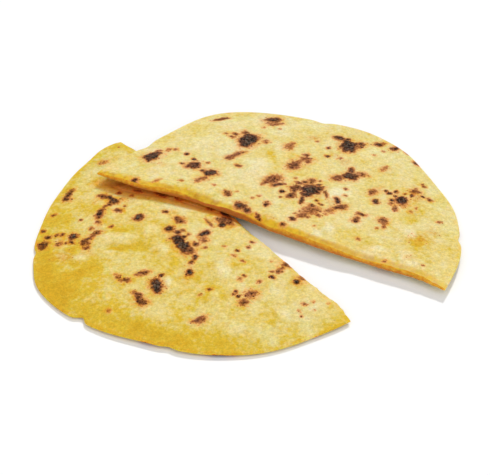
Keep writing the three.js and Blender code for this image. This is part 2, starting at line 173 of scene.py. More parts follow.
rightHalf = {
    "name": "rightHalf",
    "node": "right_half",
    "side": 1,
    "place": (8.0, -3.0),
    "turn": -28.7,
    "leans": True,
    "seed": 23,
    "paleness": 0.55,
    "rimTone": 0.04,
    "goldLip": [(15, 1.0), (35, 0.8), (62, 0.58)],
    "breaks": [(-34, 13, 2.4), (-64, 7, -1.3), (3, 7, -1.1), (73, 12, 3.2)],
    "chips": [(-33, 6, 1.5), (1, 5, 1.1), (43, 6, 0.9), (-58, 5, 0.5)],
    # How much higher the cut face's darker foot reaches: along, spread, amount
    "footRaised": [
        (-32, 8, 0.5), (-18, 8, 0.45), (-27, 5, 0.3), (-60, 14, -0.2), (22, 12, -0.15),
        (75, 20, -0.25), (-86, 9, -0.5), (88, 7, -0.3),
    ],
    "bubbles": [
        (-25, 41, 15, 11, -55, 0.6), (15, 41, 9, 6, 85, 0.6), (26, 13, 9, 5, -55, 0.6),
        (57, 28, 7, 5, -60, 0.5), (63, 12, 9, 6, -55, 0.5), (49, 11, 7, 5, 35, 0.4),
        (-22, 61, 13, 9, -55, 0.5), (52, 42, 9, 6, -60, -0.4), (-54, 52, 13, 9, 45, 0.4),
        (-59, 22, 11, 8, 55, 0.4), (12, 74, 14, 9, 30, 0.5), (48, 60, 10, 8, -30, 0.4),
    ],
    # Deeper and paler yellow, and painted highlights and shade on the bubbles
    "tonesWithBubbleLight": [
        (-1, 3, 12, 10, 0, 0.8), (78, 30, 34, 5, -60, 0.25), (-25, 55, 12, 4, -55, 0.6),
        (52, 41, 7, 6, -60, 0.4), (62, 26, 10, 8, 50, 0.5), (64, 12, 5, 4, 60, 0.5),
        (-73, 52, 24, 9, 55, 0.35), (-66, 53, 7, 4, 35, 0.3), (42, 0, 26, 5, 0, 0.4),
        (-45, 6, 19, 6, 5, 0.4), (-16, 89, 30, 11, 10, 0.2), (14, 3, 7, 4, 0, 0.4),
        (57, 29, 6, 4, -60, -0.9), (64, 11, 10, 5, -55, -0.4), (49, 11, 6, 4, 35, -0.7),
        (26, 12, 9, 3, -55, -0.9), (15, 40, 7, 5, 85, -0.9), (18, 45, 5, 5, -55, -0.5),
        (-25, 41, 14, 8, -55, -0.5), (23, 7, 5, 3, -55, -0.8), (46, 4, 6, 4, 35, -0.8),
        (-58, 22, 18, 10, 55, -0.3), (-52, 49, 20, 13, 45, -0.3), (-31, 25, 14, 12, 15, -0.3),
        (47, 19, 8, 6, 35, -0.35), (29, 22, 8, 8, 35, -0.3), (60, 39, 11, 6, -60, -0.3),
        (4, 22, 10, 8, 35, -0.2), (-24, 88, 30, 16, 30, -0.3), (-51, 52, 19, 19, 35, -0.2),
        (-26, 36, 21, 14, -55, -0.2), (40, 13, 26, 11, 5, 0.3), (17, 2, 14, 10, 0, 0.2),
        (63, 22, 8, 7, -55, 0.3), (50, 53, 10, 7, -60, 0.3), (36, 78, 14, 9, -25, -0.3),
        (70, 44, 36, 6, -60, -0.2), (-16, 23, 10, 7, -55, -0.3), (-60, 72, 10, 9, -55, -0.3),
        (7, 11, 10, 7, -55, -0.3), (0, 7, 10, 6, 20, -0.4), (-72, 51, 12, 9, -60, -0.35),
        (68, 19, 11, 8, -60, 0.35), (-74, 31, 11, 8, -60, -0.35), (49, 42, 11, 8, -60, 0.3),
        (19, 6, 10, 7, -60, -0.35), (26, 68, 10, 7, -60, 0.3), (-46, 84, 11, 8, -60, -0.3),
        (27, 89, 10, 7, -60, -0.3), (41, 60, 9, 7, -60, 0.25),
    ],
    "blots": [
        (-63.5, 74.5, 8.5, 2.6, 50, 0.83), (-41, 62, 12.7, 9.2, 90, 1.00),
        (-39, 47, 10.7, 3.3, 70, 0.64), (-41, 43, 4.4, 3.7, -40, 0.69),
        (-33.5, 37.5, 4.1, 1.8, -15, 0.73), (-72, 24, 10.1, 5.6, 85, 0.97),
        (-68.5, 33, 3.7, 3.4, 85, 0.53), (-51, 27, 7.3, 6.6, 75, 0.84),
        (-41, 25.5, 6.3, 5.4, 80, 0.99), (-42, 18, 7.2, 4.0, 70, 0.59),
        (-67.5, 1, 4.9, 3.1, -80, 0.85), (-58, 6, 4.4, 1.3, 70, 0.57),
        (-25.5, 14, 4.7, 2.7, -60, 0.75), (-16, 8.5, 5.1, 4.4, -20, 0.87),
        (-11.5, 7, 3.4, 2.5, -10, 0.91), (-5, 4.5, 6.7, 1.9, -45, 0.79),
        (-41, 88, 9.3, 5.4, 45, 0.88), (-38.5, 84, 9.1, 4.6, 35, 0.57),
        (-21.5, 67, 7.8, 4.2, -80, 0.60), (-15.5, 81.5, 5.3, 4.7, 65, 0.36),
        (-5, 88, 6.4, 3.2, -10, 0.98), (2, 83, 12.7, 6.2, -60, 1.00), (5, 85, 6.9, 4.0, -55, 0.66),
        (7, 88, 4.9, 4.5, -45, 0.78), (13.5, 92.5, 5.1, 3.1, 30, 0.86),
        (15.5, 95, 4.3, 2.2, 65, 0.55), (22, 93.5, 5.0, 3.4, 65, 0.80),
        (28.5, 93, 4.2, 1.5, -35, 0.55), (36, 87, 4.6, 1.7, -30, 0.78),
        (-9.5, 60.5, 6.8, 5.8, 15, 0.63), (-12, 53, 10.1, 5.4, 85, 0.73),
        (-13.5, 35.5, 9.5, 5.8, 70, 0.71), (-15.5, 31, 4.4, 2.6, 75, 0.68),
        (-9.5, 32.5, 7.1, 2.5, 45, 0.99), (-7, 16, 4.3, 2.4, -75, 0.83),
        (14.5, 58.5, 8.1, 6.0, 40, 0.90), (18, 63, 4.6, 3.5, 60, 0.61),
        (13, 63.5, 4.2, 2.6, -40, 0.87), (10.5, 54, 6.5, 5.4, 20, 0.65),
        (21, 64, 3.3, 1.2, -35, 0.44), (25.5, 73, 5.3, 2.8, 80, 0.49),
        (1.5, 45, 4.6, 3.2, 90, 0.76), (4.5, 38, 9.9, 7.7, -50, 1.00),
        (7.5, 41, 4.9, 3.7, 15, 0.85), (12, 37.5, 6.0, 1.4, -50, 0.82),
        (5, 33, 5.2, 4.0, 10, 0.92), (-2, 34.5, 6.7, 4.4, 90, 0.79),
        (-0.5, 28.5, 5.2, 3.6, 85, 0.78), (5, 27.5, 6.7, 1.8, -70, 1.00),
        (18.5, 36, 3.8, 2.6, -55, 0.97), (21.5, 31.5, 7.4, 4.2, 55, 0.79),
        (19.5, 26.5, 6.5, 4.2, 60, 0.48), (12.5, 21.5, 10.2, 7.3, 60, 0.61),
        (11, 25.5, 4.2, 3.2, -10, 0.67), (10.5, 16, 4.4, 3.9, 50, 0.64),
        (8.5, 11, 3.8, 3.0, -60, 0.83), (29, 52, 5.3, 3.9, -75, 0.69),
        (33.5, 45, 4.5, 3.4, -75, 0.94), (43, 52, 7.2, 5.6, -65, 0.98),
        (43, 45, 5.2, 2.7, -70, 0.60), (45.5, 62.5, 4.9, 3.9, 80, 0.71),
        (32.5, 31.5, 4.3, 2.6, 0, 0.85), (32, 26.5, 4.2, 3.5, 80, 0.77),
        (43, 32, 4.8, 4.2, 85, 0.65), (44.5, 28.5, 4.6, 2.0, -65, 0.56),
        (62, 28, 12.0, 8.5, 50, 0.35), (64, 12, 4.1, 3.1, 60, 0.34), (-18, 2, 16.0, 4.0, 0, 0.34),
        (15, 23.5, 3.7, 1.4, -35, 0.68), (17.5, 20, 2.9, 2.8, 0, 0.73),
        (8.5, 18.5, 2.2, 1.2, -80, 0.50), (-40, 57.5, 5.9, 4.8, 60, 0.99),
        (2.5, 79, 6.0, 2.7, -60, 0.90), (48, 56.5, 9.0, 6.0, -60, 0.37),
        (-65.5, 19, 6.0, 4.0, 0, 0.34), (1, 72, 6.0, 4.0, 0, 0.33), (-0.5, 7.5, 5.0, 3.5, 0, 0.32),
        (7.5, 68, 5.0, 4.0, 0, 0.32), (31.5, 56, 6.0, 5.0, -60, 0.34), (16, 33, 5.0, 4.0, 0, 0.33),
        (45, 66, 6.0, 4.0, -60, 0.33), (64.5, 36, 6.0, 5.0, -60, 0.30),
        (-32, 4, 6.0, 3.0, 0, 0.30),
    ],
    "spots": [
        (-53, 62, 2.5, 0.36), (-49, 64, 2.7, 0.66), (-49, 60, 2.7, 0.50), (-46, 68, 3.5, 0.65),
        (-33.5, 66, 3.6, 0.36), (-72.5, 30, 2.8, 0.43), (-65.5, 35, 2.2, 0.56),
        (-59.5, 35, 2.1, 0.97), (-54, 32, 1.9, 0.87), (-56, 25, 1.8, 0.78), (-47, 33, 1.8, 0.55),
        (-52.5, 24, 3.0, 0.55), (-45, 25, 2.0, 0.82), (-49, 12, 1.9, 0.27), (-34, 16.5, 1.7, 0.32),
        (-27.5, 15, 1.7, 0.45), (-23, 17.5, 1.4, 0.33), (-14.5, 17, 1.7, 0.35),
        (-13, 20, 1.5, 0.50), (-33.5, 80.5, 1.2, 0.47), (-41, 77.5, 1.7, 0.30),
        (-22, 71.5, 2.4, 0.42), (-13, 80, 1.5, 0.61), (-5.5, 76.5, 1.6, 0.77),
        (-2.5, 69, 2.0, 0.88), (4, 70, 2.3, 0.44), (7, 79, 2.0, 0.32), (18.5, 88, 2.0, 0.49),
        (16.5, 81, 1.8, 0.25), (-11.5, 65, 2.8, 0.62), (-5.5, 28.5, 2.3, 0.97),
        (-4, 24.5, 1.5, 0.60), (-6, 43, 1.6, 0.49), (-1, 42.5, 2.4, 0.81), (4.5, 47.5, 1.3, 0.48),
        (-3, 40, 2.9, 0.59), (10.5, 31, 1.5, 0.63), (14, 29, 1.3, 0.75), (18, 46.5, 1.9, 0.57),
        (20, 41.5, 1.7, 0.40), (7, 5.5, 2.4, 0.58), (19, 11.5, 1.0, 0.36), (34, 56, 1.4, 0.97),
        (36, 55, 1.8, 0.95), (38, 58, 2.1, 0.86), (39, 54.5, 1.3, 0.92), (39, 50.5, 2.3, 0.91),
        (40, 47.5, 2.3, 0.41), (42.5, 58, 1.5, 0.58), (46, 58.5, 2.0, 0.81), (45, 65.5, 1.6, 0.43),
        (45.5, 71.5, 1.6, 0.49), (47, 70, 1.9, 0.68), (50, 60, 1.9, 0.73), (53.5, 60.5, 3.2, 0.62),
        (50, 47, 2.4, 0.25), (51, 50.5, 1.5, 0.25), (64, 46, 2.1, 0.44), (42.5, 25.5, 1.4, 0.52),
        (39, 13.5, 2.1, 0.41), (55.5, 5, 1.4, 0.50), (71, 10, 1.0, 0.59), (13.5, 16, 2.2, 0.44),
        (7.5, 16, 1.1, 0.56), (11, 21, 1.5, 0.58), (19.5, 22.5, 1.5, 0.41),
        (12.5, 29.5, 1.0, 0.82), (8, 84.5, 2.3, 0.85), (-1.5, 32.5, 2.6, 0.78),
        (-0.5, 89, 2.5, 0.83), (5.5, 44, 2.1, 0.83),
    ],
}


def smooth(value, low, high):
    share = np.clip((value - low) / (high - low), 0, 1)
    return share * share * (3 - 2 * share)


def bell(distance, spread):
    return np.exp(-0.5 * (distance / spread) ** 2)


def turned(x, y, degrees):
    angle = math.radians(degrees)
    return x * math.cos(angle) - y * math.sin(angle), x * math.sin(angle) + y * math.cos(angle)


def roughness(x, y, z, sizes, seed):
    # Perlin noise at every vertex, a layer for each size and strength
    total = np.zeros_like(x)
    for size, strength in sizes:
        points = zip((x / size + seed).tolist(), (y / size - seed).tolist(), (z / size).tolist())
        total += strength * np.array([noise.noise(point) for point in points])
    return total


def ovalShare(x, y, long, wide):
    # How far out in an oval: 0 in its middle, 1 at its edge
    return np.hypot(x / long, y / wide) * 2


def patches(rows, x, y, power):
    # Soft ovals, each as along, across, long, wide, turn and amount.
    # A power of 2 gives them round tops, and more gives flat ones.
    total = np.zeros_like(x)
    for along, across, long, wide, turn, amount in rows:
        dx, dy = turned(x - along, y - across, -turn)
        total += amount * np.exp(-0.5 * ovalShare(dx, dy, long, wide) ** power)
    return total


def turnBetween(at, where):
    # Degrees from one direction to the other, the short way round
    return np.abs((at - where + 540) % 360 - 180)


def outline(angle):
    at = np.degrees(angle)
    radius = np.full_like(angle, bread["roundRadius"])
    for count, start, out in bread["ripples"]:
        radius += out * np.sin(count * angle + start)
    for where, spread, out in bread["bulges"]:
        radius += out * bell(turnBetween(at, where), spread)
    for where, spread, deep in bread["splits"]:
        radius -= deep * bell(turnBetween(at, where), spread)
    return radius


# The knife's line, its rounded upper lip, and how the crumb broke
cut = {
    "bow": 3.4,
    "waver": 0.6,
    "waverLength": 9,
    "waverStart": 1.9,
    "fade": 45,
    "lipWidth": 2.8,
    "lipDown": 0.9,
    "chipWidth": 3.6,
    "crumbSizes": [(1.3, 0.32), (3.2, 0.35)],  # size across, depth
    "ragged": [(2.2, 0.35), (5.0, 0.3)],
}


def cutLine(half, along):
    share = along / (bread["cutLength"] / 2)
    waver = cut["waver"] * np.sin(along / cut["waverLength"] + cut["waverStart"])
    line = cut["bow"] * (1 - share ** 2) + waver * (1 - share ** 4)
    for at, spread, back in half["breaks"]:
        line = line + half["side"] * back * bell(along - at, spread)
    return line


def thickness(share):
    middle, shoulder = bread["middleThickness"], bread["shoulderThickness"]
    thinned = (middle - shoulder) * smooth(share, bread["thinsFrom"], bread["shoulder"])
    rolledOff = (shoulder - bread["rimThickness"]) * smooth(share, bread["shoulder"], 1)
    return middle - thinned - rolledOff


def lowered(half, along, fromCut):
    # How far down the upper crust is at the cut: a lip all along, and more where chips have gone
    chipped = sum(down * bell(along - at, spread) for at, spread, down in half["chips"])
    lip = cut["lipDown"] * (1 - smooth(fromCut, 0, cut["lipWidth"]))
    return lip + chipped * (1 - smooth(fromCut, 0, cut["chipWidth"]))


# Waves that the palms left, small blisters on a sunflower spiral, and finer lumps
surface = {
    "palmHeight": 0.22,
    "palmAlong": (9.5, 0.6),  # length, start
    "palmAcross": (11, 1.1),
    "fingerHeight": 0.14,
    "fingerAlong": (8, 1.6, 2.0),  # length, slant, start
    "blisters": 40,
    "blisterHeight": 0.5,
    "blisterSpread": 3.8,
    "blisterSizes": (0.45, 0.55, 2.7, 0.4),  # least, extra, step, start
    "blisteredShare": 0.95,
    "bubbled": 2.1,  # how much higher the bubbles stand than the CAD model's
    "lumps": [(7.0, 0.2), (3.4, 0.12), (1.7, 0.06)],  # size across, height
    "lumpsApart": 40,  # how far from the upper crust's the underside's are read in the noise
    "scorchRise": 0.3,
}


def relief(half, x, y):
    (long, start), (wide, side) = surface["palmAlong"], surface["palmAcross"]
    rise = surface["palmHeight"] * np.sin(x / long + start) * np.sin(y / wide + side)
    length, slant, start = surface["fingerAlong"]
    rise += surface["fingerHeight"] * np.sin((x + slant * y) / length + start)
    goldenAngle = math.pi * (3 - math.sqrt(5))
    least, extra, step, start = surface["blisterSizes"]
    reach, count = surface["blisteredShare"] * bread["roundRadius"], surface["blisters"]
    for i in range(count):
        radius, angle = reach * math.sqrt((i + 0.5) / count), i * goldenAngle
        size = least + extra * abs(math.sin(step * i + start))
        away = np.hypot(x - radius * math.cos(angle), y - radius * math.sin(angle))
        rise += surface["blisterHeight"] * size * bell(away, surface["blisterSpread"] * size)
    return rise + surface["bubbled"] * patches(half["bubbles"], x, y, 2)


def curl(angle, share):
    # How far the rim lifts off the table
    rim = bread["curl"]
    beat = np.cos(rim["beats"] * angle + rim["beatPhase"])
    wave = 0.5 + 0.5 * np.sin(rim["waves"] * angle + rim["phase"]) * beat
    return rim["height"] * wave ** 2 * smooth(share, rim["start"], 1)


def intoOther(x, y, half, other):
    # The same spot seen from the other half's own place
    x, y = turned(x, y, half["turn"])
    x = x + half["place"][0] - other["place"][0]
    y = y + half["place"][1] - other["place"][1]
    return turned(x, y, -other["turn"])


# Where the right half leans on the left half's cut edge
lean = {"height": 5.0, "reach": 88, "power": 1.35}


def underside(half, x, y):
    # The leaning half's height above the table, sloping down from the other half's cut edge
    if not half["leans"]:
        return np.zeros_like(x)
    beyond = intoOther(x, y, half, leftHalf)[1] - cut["bow"]
    high, reach, power = lean["height"], lean["reach"], lean["power"]
    over = high - high * power / reach * beyond
    return np.where(beyond < 0, over, high * np.clip(1 - beyond / reach, 0, 1) ** power)


# Where the crust turns deeper or toasted: at the rim and along the cut; tone patches, which also
# hold painted highlights and shade on the bubbles; and a painted shadow of the right half in the
# nook under it
toastAndPaintedShade = {
    "patchTone": 0.36,
    "patchPower": 3,
    "rimFrom": 0.86,
    "lip": (1.3, 3.3),
    "lipRagged": 3.0,
    # Along the cut, out, fade
    "nookShadowWidths": [(-75, 6.0, 1.4), (-52, 5.0, 1.3), (-35, 4.2, 0.9), (-15, 2.4, 0.5)],
    "nookShadowBehind": (-9, -5),
    "nookShadowEnd": (-92, -76),
    "nookShadowSlant": 1.2,
}


def nookShadow(half, x, y):
    # Painted shadow: the right half's shadow on the left half's crust, under and just outside its
    # cut edge
    if half["leans"]:
        return np.zeros_like(x)
    x, y = intoOther(x, y, half, rightHalf)
    outside = cutLine(rightHalf, x) - y
    along, widths, fades = zip(*toastAndPaintedShade["nookShadowWidths"])
    width, fade = np.interp(x, along, widths), np.interp(x, along, fades)
    end = x + toastAndPaintedShade["nookShadowSlant"] * np.minimum(outside, 0)
    under = smooth(outside, *toastAndPaintedShade["nookShadowBehind"]) * smooth(end, *toastAndPaintedShade["nookShadowEnd"])
    return under * np.clip(1 - np.maximum(outside, 0) / width, 0, 1) ** fade


# How a griddle mark fades out past its edge, and how far the toasted halo goes, in millimetres
scorch = {
    "plateau": 0.6,
    "fade": 1.6,
    "core": 0.42,  # how much of the heat is a soft hill over the whole mark
    "coreSpread": 0.75,
    "glow": 0.27,  # share of the heat that spreads on past the fade
    "glowFade": 3.0,
    "spotBoost": 0.16,
    "haloFade": 4.0,
    "riseFade": 1.5,
    "wobble": [(4.2, 1.5), (1.7, 0.8)],  # size across, shift
    "wobbleLayers": (7, 31),  # where the shifts along and across are read in the noise
    "smallBelow": 5.0,  # marks narrower than this wobble less
    "tintBelow": 0.38,  # fainter marks are a tan tint only
    "tintBoost": 3.0,
    "upperFrom": (0.3, 0.8),  # how far up the rim the upper crust's marks take over
}


def ovalDistance(x, y, long, wide):
    # Millimetres to the edge of an oval, less than nothing inside it
    away = np.hypot(x / long, y / wide)
    return away * (away - 1) / np.maximum(np.hypot(x / long ** 2, y / wide ** 2), 1e-6)


def burnt(marks, x, y, seed):
    # Heat of the griddle marks at every vertex, the halo round them, and how far they stand up
    layers = [np.full_like(x, at) for at in scorch["wobbleLayers"]]
    wobbleX, wobbleY = (roughness(x, y, layer, scorch["wobble"], seed) for layer in layers)
    heat, halo, raised = np.zeros_like(x), np.zeros_like(x), np.zeros_like(x)
    for along, across, long, wide, turn, burn in marks:
        ragged = min(1, wide / scorch["smallBelow"])
        dx, dy = turned(x + ragged * wobbleX - along, y + ragged * wobbleY - across, -turn)
        hill = bell(ovalShare(dx, dy, long, wide), scorch["coreSpread"])
        if burn < scorch["tintBelow"]:
            halo = np.maximum(halo, scorch["tintBoost"] * burn * hill)
            continue
        gap = ovalDistance(dx, dy, long / 2, wide / 2)
        edge = np.clip(1 - (gap + scorch["plateau"]) / scorch["fade"], 0, 1)
        glow = scorch["glow"] * np.clip(1 - gap / (ragged * scorch["glowFade"]), 0, 1)
        heat = np.maximum(heat, burn * np.maximum(edge + scorch["core"] * (hill - edge), glow))
        halo = np.maximum(halo, burn * np.clip(1 - gap / (ragged * scorch["haloFade"]), 0, 1))
        inside = 1 - smooth(gap, -scorch["riseFade"], scorch["riseFade"])
        raised = np.maximum(raised, burn * ragged * inside)
    return heat, halo, raised


def marksAbove(half):
    boost, spots = scorch["spotBoost"], half["spots"]
    return half["blots"] + [(x, y, size, size, 0, burn + boost) for x, y, size, burn in spots]


# The underside met the griddle too, and few of its marks are large
marksUnder = {
    "count": 80,
    "reach": 88,
    "smallest": 2,
    "larger": 9,
    "rareness": 3,
    "narrowed": (0.4, 0.9),
    "burn": (0.4, 1.0),
    "seedStep": 5,
}


def marksBelow(half):
    draw = random.Random(half["seed"])
    marks = []
    for i in range(marksUnder["count"]):
        angle = math.radians(draw.uniform(0, 180)) * half["side"]
        radius = marksUnder["reach"] * math.sqrt(draw.random())
        larger = marksUnder["larger"] * draw.random() ** marksUnder["rareness"]
        long = marksUnder["smallest"] + larger
        wide = long * draw.uniform(*marksUnder["narrowed"])
        place = (radius * math.cos(angle), radius * math.sin(angle))
        turn, burn = draw.uniform(-90, 90), draw.uniform(*marksUnder["burn"])
        marks.append((*place, long, wide, turn, burn))
    return marks


# Fineness of the meshes
mesh = {"columns": 300, "rowsAcross": 150, "rowsUp": 7, "evenRows": 0.75}


def flatBlock():
    # A block two long, one wide and one high, its top, floor and walls all in squares
    bm = bmesh.new()
    bmesh.ops.create_grid(bm, x_segments=mesh["columns"], y_segments=mesh["rowsAcross"], size=1)
    top = bmesh.ops.extrude_face_region(bm, geom=bm.faces[:])["geom"]
    lifted = [part for part in top if isinstance(part, bmesh.types.BMVert)]
    bmesh.ops.translate(bm, vec=(0, 0, 1), verts=lifted)
    upright = [edge for edge in bm.edges if edge.verts[0].co.z != edge.verts[1].co.z]
    bmesh.ops.subdivide_edges(bm, edges=upright, cuts=mesh["rowsUp"] - 1, use_grid_fill=True)
    bmesh.ops.recalc_face_normals(bm, faces=bm.faces[:])
    for face in bm.faces:
        face.smooth = True
        if face.calc_center_median().y < -1 + 1e-4:
            face.material_index = 1  # the cut
    return bm


def makeHalf(half):
    bm = flatBlock()
    if half["side"] < 0:
        bmesh.ops.reverse_faces(bm, faces=bm.faces[:])
    shape = bpy.data.meshes.new(half["name"])
    bm.to_mesh(shape)
    bm.free()

    count = len(shape.vertices)
    flat = np.empty(count * 3, dtype=np.float32)
    shape.vertices.foreach_get("co", flat)
    u, row, up = flat.reshape(-1, 3).T.astype(float)
    row = (row + 1) / 2
    v = mesh["evenRows"] * row + (1 - mesh["evenRows"]) * row ** 2  # finer rows near the cut

    # The block bent to a half round
    alongShare = u * np.sqrt(1 - v * v / 2)
    acrossShare = v * np.sqrt(1 - u * u / 2)
    share = np.hypot(alongShare, acrossShare)
    angle = half["side"] * np.arctan2(acrossShare, alongShare)
    standBack = bread["rimRounding"] * (2 * up - 1) ** 2 * share ** bread["rimSharpness"]
    radius = share * (outline(angle) - standBack)
    x = radius * np.cos(angle)
    straight = radius * np.sin(angle)
    fromCut = np.abs(straight)
    y = straight + cutLine(half, x) * (1 - smooth(fromCut, 0, cut["fade"]))

    seed = half["seed"]
    heat, halo, raised = burnt(marksAbove(half), x, y, seed)
    heatBelow, haloBelow = burnt(marksBelow(half), x, y, seed + marksUnder["seedStep"])[:2]
    onTop = smooth(up, *scorch["upperFrom"])
    inner = 1 - smooth(share, bread["shoulder"], 1)

    # The CAD model's relief, and finer detail
    lumps = roughness(x, y, surface["lumpsApart"] * up, surface["lumps"], seed)
    rise = (relief(half, x, y) + (lumps + surface["scorchRise"] * raised)) * inner
    bottom = underside(half, x, y) + curl(angle, share)
    left = 1 - lowered(half, x, fromCut) / bread["middleThickness"]
    z = bottom + up * (thickness(share) * left + rise)

    # Crumb of the cut face, and its ragged edges
    inTheCut = (row == 0) & (up > 0) & (up < 1)
    crumb = roughness(x, z, z * 0, cut["crumbSizes"], seed)
    ragged = roughness(x, z * 0, z * 0, cut["ragged"], seed)
    y = y + np.where(inTheCut, crumb, 0) + ragged * (1 - smooth(fromCut, 0, cut["lipWidth"]))

    lip = 1 - smooth(fromCut + toastAndPaintedShade["lipRagged"] * ragged, *toastAndPaintedShade["lip"])
    # Deeper and paler yellow, with painted highlights on the bubbles' tops and painted shade below
    # them
    tonesAndBubbleLight = patches(half["tonesWithBubbleLight"], x, y, toastAndPaintedShade["patchPower"])
    tone = half["paleness"] + toastAndPaintedShade["patchTone"] * tonesAndBubbleLight
    tone += half["rimTone"] * smooth(share, toastAndPaintedShade["rimFrom"], 1)
    addField(shape, "scorch", heat * onTop + heatBelow * (1 - onTop))
    addField(shape, "halo", halo * onTop + haloBelow * (1 - onTop))
    addField(shape, "tone", tone)
    # The right half's shadow on the left half, painted into the colour
    addField(shape, "nookShadow", nookShadow(half, x, y) * onTop)
    addField(shape, "lip", np.interp(x, *zip(*half["goldLip"])) * lip * onTop)
    # The cut face is darker towards its foot, which reaches higher or lower along the cut
    footRaise = sum(amount * bell(x - at, spread) for at, spread, amount in half["footRaised"])
    addField(shape, "upTheCut", up - footRaise)

    x, y = turned(x, y, half["turn"])
    places = np.stack([x + half["place"][0], y + half["place"][1], z], axis=1)
    shape.vertices.foreach_set("co", places.astype(np.float32).ravel())
    shape.update()
    print("shaped", half["name"], count, "vertices")
    return shape


def addField(shape, name, values):
    field = shape.attributes.new(name, "FLOAT", "POINT")
    field.data.foreach_set("value", values.astype(np.float32))


def addPiece(half, shape, materials, middle):
    for vertex in shape.vertices:
        vertex.co = (vertex.co - middle) * mm
    for material in materials:
        shape.materials.append(material)
    piece = bpy.data.objects.new(half["name"], shape)
    bpy.context.scene.collection.objects.link(piece)
    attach(piece, "root")
    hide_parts(half["node"])


def sRgb(red, green, blue):
    # A colour as seen on a screen, 0 to 255, as Blender's linear one
    values = []
    for value in (red, green, blue):
        value = value / 255
        values.append(value / 12.92 if value <= 0.04045 else ((value + 0.055) / 1.055) ** 2.4)
    return (*values, 1.0)


def setInput(tree, node, key, value):
    if isinstance(value, bpy.types.NodeSocket):
        tree.links.new(value, node.inputs[key])
    else:
        node.inputs[key].default_value = value


def addNode(tree, kind, inputs, **settings):
    node = tree.nodes.new(kind)
    for key, value in settings.items():
        setattr(node, key, value)
    for key, value in inputs.items():
        setInput(tree, node, key, value)
    return node


def addRamp(tree, factor, stops):
    node = addNode(tree, "ShaderNodeValToRGB", {"Fac": factor})
    ramp = node.color_ramp
    while len(ramp.elements) < len(stops):
        ramp.elements.new(0.5)
    for element, (position, colour) in zip(ramp.elements, stops):
        element.position = position
        element.color = colour if isinstance(colour, tuple) else (colour, colour, colour, 1)
    return node.outputs["Color"]


def addColourRamp(tree, factor, stops):
    return addRamp(tree, factor, [(at, sRgb(*colour)) for at, colour in stops])


def addMath(tree, operation, first, second):
    return addNode(tree, "ShaderNodeMath", {0: first, 1: second}, operation=operation).outputs[0]


def addSum(tree, *parts):
    # Each part is a socket, or a socket and how much of it counts
    total = 0.0
    for part in parts:
        value = addMath(tree, "MULTIPLY", *part) if isinstance(part, tuple) else part
        total = addMath(tree, "ADD", value, total)
    return total


def addMix(tree, factor, first, second, blend="MIX"):
    # Sockets 6 and 7 are the Mix node's two colours
    node = addNode(tree, "ShaderNodeMix", {0: factor}, data_type="RGBA", blend_type=blend)
    setInput(tree, node, 6, first)
    setInput(tree, node, 7, second)
    return node.outputs[2]


def addProduct(tree, first, *others):
    for other in others:
        first = addMath(tree, "MULTIPLY", first, other)
    return first


def addNoise(tree, place, scale, detail, rough, distortion=0.0):
    inputs = {"Vector": place, "Scale": scale, "Detail": detail, "Roughness": rough}
    node = addNode(tree, "ShaderNodeTexNoise", {**inputs, "Distortion": distortion})
    return node.outputs["Fac"]


def addAttribute(tree, name):
    return addNode(tree, "ShaderNodeAttribute", {}, attribute_name=name).outputs["Fac"]


def newMaterial(name):
    material = bpy.data.materials.new(name)
    material.use_nodes = True
    material.node_tree.nodes.clear()
    return material, material.node_tree


def addGrain(tree, grainGroup, coarseness):
    inputs = {"Coarseness": coarseness}
    node = addNode(tree, "ShaderNodeGroup", inputs, node_tree=grainGroup)
    return [node.outputs[name] for name in ("Meal", "Clumps", "Bran")]


def addSurface(tree, look, colour, rough, height):
    inputs = {"Height": height, "Strength": look["bumpStrength"], "Distance": look["bumpDistance"]}
    bump = addNode(tree, "ShaderNodeBump", inputs)
    shader = addNode(tree, "ShaderNodeBsdfPrincipled", {
        "Base Color": colour,
        "Roughness": rough,
        "Normal": bump.outputs["Normal"],
        "Specular IOR Level": look["specular"],
        "Subsurface Weight": look["scatter"],
        "Subsurface Scale": look["scatterDepth"],
        "Subsurface Radius": look["scatterSpread"],
    })
    addNode(tree, "ShaderNodeOutputMaterial", {"Surface": shader.outputs["BSDF"]})


# Ground maize
maizeGrain = {
    "meal": (1500, 3.0, 0.65),  # features in a metre, detail, roughness
    "clumps": (600, 2.0, 0.5),
    "bran": 420,  # cells in a metre
    "branEdge": [(0.12, 1.0), (0.24, 0.0)],
    "branShare": [(0.14, 1.0), (0.16, 0.0)],
}


def makeMaizeGrain():
    # Fine meal all over, softer clumps, and a few flecks of bran
    tree = bpy.data.node_groups.new("maizeGrain", "ShaderNodeTree")
    tree.interface.new_socket("Coarseness", in_out="INPUT", socket_type="NodeSocketFloat")
    for name in ("Meal", "Clumps", "Bran"):
        tree.interface.new_socket(name, in_out="OUTPUT", socket_type="NodeSocketFloat")
    coarseness = addNode(tree, "NodeGroupInput", {}).outputs["Coarseness"]
    place = addNode(tree, "ShaderNodeTexCoord", {}).outputs["Object"]
    grain = {}
    for name, key in (("Meal", "meal"), ("Clumps", "clumps")):
        scale, *rest = maizeGrain[key]
        grain[name] = addNoise(tree, place, addMath(tree, "DIVIDE", scale, coarseness), *rest)
    branScale = addMath(tree, "DIVIDE", maizeGrain["bran"], coarseness)
    cells = addNode(tree, "ShaderNodeTexVoronoi", {"Vector": place, "Scale": branScale})
    fleck = addRamp(tree, cells.outputs["Distance"], maizeGrain["branEdge"])
    chosen = addRamp(tree, cells.outputs["Color"], maizeGrain["branShare"])
    addNode(tree, "NodeGroupOutput", {**grain, "Bran": addProduct(tree, fleck, chosen)})
    return tree


